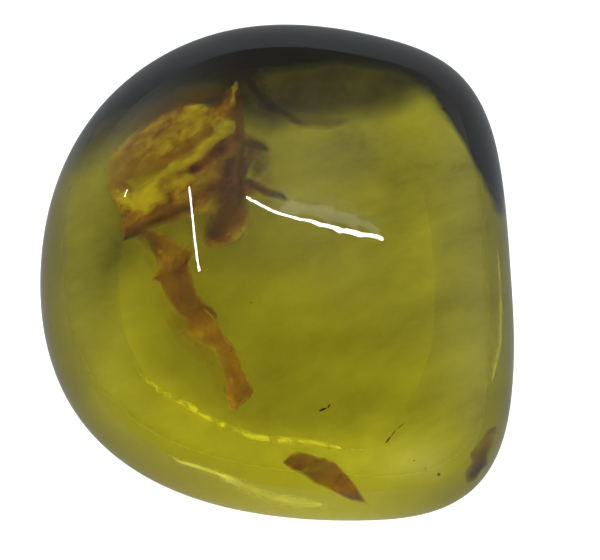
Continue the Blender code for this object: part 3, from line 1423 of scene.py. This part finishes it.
def add_camera():
    """The photograph's view, steeply down from the front."""
    data = bpy.data.cameras.new("camera")
    camera = bpy.data.objects.new("camera", data)
    bpy.context.scene.collection.objects.link(camera)
    target = Vector((VIEW_X - MIDDLE_X, VIEW_Y - MIDDLE_Y, VIEW_LEVEL))
    camera.location = target + direction(180, CAMERA_ELEVATION) * CAMERA_DISTANCE
    camera.rotation_euler = (target - camera.location).to_track_quat("-Z", "Y").to_euler()
    data.sensor_width = SENSOR_WIDTH
    data.lens = SENSOR_WIDTH * CAMERA_DISTANCE / (PHOTO_WIDTH / PIXELS_PER_MM * MM)
    data.clip_start = NEAREST_SEEN
    bpy.context.scene.camera = camera


def add_seams():
    """Everything that is strung along a line in the stone."""
    # A painted glint: bright yellow dashes high in the stone.
    glint_dashes = thin_seam(
        "painted_glint_dashes",
        [(0.3, "d8cc28"), (0.7, "fffc60")],
        grain=0.8,
        gap=0.36,
        strength=1.0,
    )
    # A painted reflection of the lamps: a pale, even sheen. The pale fibre uses it too.
    fibre_and_reflection_sheen = thin_seam(
        "pale_fibre_and_painted_reflection",
        [(0.3, "b8b028"), (0.7, "ece860")],
        grain=3.0,
        gap=0.1,
        strength=0.7,
    )
    # Ground-up plant matter hangs in soft brown clouds.
    dust = thin_seam(
        "plant_dust",
        [(0.3, "6a4c1c"), (0.7, "8a6824")],
        grain=2.5,
        gap=0.15,
        strength=0.65,
    )
    # Crumbled bark is a thinner cloud, and more orange.
    bark_dust = thin_seam(
        "orange_bark_dust",
        [(0.3, "b08028"), (0.7, "dcac38")],
        grain=1.6,
        gap=0.2,
        strength=0.4,
    )
    # Charred fibres are near black, with a trace of brown.
    char = thin_seam(
        "charred_threads",
        [(0.3, "1c1a20"), (0.7, "3c3024")],
        grain=1.0,
        gap=0.25,
        strength=0.85,
    )
    add_seam("painted_glint_string", GLINT_LINE, 0.7, 0, GLINT_LEVEL, glint_dashes)
    # The front painted reflection starts narrow at its left end.
    add_seam("front_painted_reflection_tip", FRONT_REFLECTION[:5], 0.4, REFLECTION_DEPTH, HEIGHT, fibre_and_reflection_sheen)
    add_seam("front_painted_reflection", FRONT_REFLECTION[2:], 0.9, REFLECTION_DEPTH, HEIGHT, fibre_and_reflection_sheen)
    add_seam("side_painted_reflection", SIDE_REFLECTION, 0.5, REFLECTION_DEPTH, HEIGHT, fibre_and_reflection_sheen)
    add_seam("pale_fibre", PALE_FIBRE, 0.25, 0, FIBRE_LEVEL, fibre_and_reflection_sheen)
    for name, width, points in DUST_SEAMS:
        add_seam(name, points, width, 0, DUST_LEVEL, dust)
    for name, width, points in BARK_SEAMS:
        add_seam(name, points, width, 0, DUST_LEVEL, bark_dust)
    for name, width, points in CHAR_SEAMS:
        add_seam(name, points, width, 0, CHAR_LEVEL, char)


def main():
    """Makes the stone, what is sealed in it, the light and the view."""
    # Dried film, thin enough to let light through: yellow on its ridges as painted highlight, dark
    # brown in its creases as painted shade.
    film = thin_debris(
        "dried_plant_film",
        [(0.0, "4c3614"), (0.25, "845818"), (0.5, "b48420"), (0.75, "e4d450")],
        [(0.0, "a07c50"), (0.25, "d4a45c"), (0.5, "ecc064"), (0.75, "fcf4b0")],
        solid_share=0.55,
        edge_width=0.9,
        grain=1.6,
    )
    # Peeled bark: an even orange brown with a dull face.
    bark = thin_debris(
        "thin_bark",
        [(0.0, "a0742c"), (0.35, "bc9030"), (0.6, "cca038"), (0.85, "e4c450")],
        [(0.0, "c89c58"), (0.35, "e0b460"), (0.6, "e8c068"), (0.85, "f8d888")],
        solid_share=0.5,
        edge_width=0.5,
        grain=1.6,
    )
    # Rotted leaf: deeper brown, and blotched more finely.
    leaf = thin_debris(
        "rotted_leaf",
        [(0.0, "64441c"), (0.35, "805420"), (0.6, "946424"), (0.85, "b08838")],
        [(0.0, "a07848"), (0.35, "b48850"), (0.6, "c09858"), (0.85, "d8b070")],
        solid_share=0.55,
        edge_width=0.5,
        grain=0.9,
    )
    # Felted fibres: dark olive brown, with a blurred edge.
    fuzz = thin_debris(
        "felted_plant_fibres",
        [(0.0, "3c3418"), (0.35, "604c20"), (0.6, "746028"), (0.85, "9c8840")],
        [(0.0, "8c7458"), (0.35, "b89c78"), (0.6, "ccb48c"), (0.85, "e0d0a8")],
        solid_share=0.45,
        edge_width=0.8,
        grain=0.8,
    )
    add_stone(clear_amber())
    add_painted_shade_skin(painted_shade_skin())
    add_seams()
    add_grit(charred_grit())
    crumpled_sheet(
        "plant_film_sheet",
        "plant_veil",
        VEIL_OUTLINE,
        VEIL_RIDGES,
        VEIL_CREASES,
        relief=1.0,
        cell=0.2,
        material=film,
        seed=3.0,
    )
    crumpled_sheet(
        "bark_strip_sheet",
        "bark_strip",
        STRIP_OUTLINE,
        STRIP_RIDGES,
        STRIP_CREASES,
        relief=0.8,
        cell=0.15,
        material=bark,
        seed=5.0,
    )
    crumpled_sheet(
        "leaf_flake_sheet",
        "leaf_flake",
        LEAF_OUTLINE,
        LEAF_RIDGES,
        LEAF_CREASES,
        relief=0.25,
        cell=0.1,
        material=leaf,
        seed=7.0,
    )
    crumpled_sheet(
        "edge_flake_sheet",
        "edge_flake",
        EDGE_OUTLINE,
        EDGE_RIDGES,
        EDGE_CREASES,
        relief=0.5,
        cell=0.1,
        material=fuzz,
        seed=9.0,
    )
    add_card()
    add_room_light()
    for name, radiance, points, widths in LAMPS:
        add_tube(name, radiance, points, widths)
    add_camera()


main()
bpy.context.scene.view_settings.view_transform = "Standard"
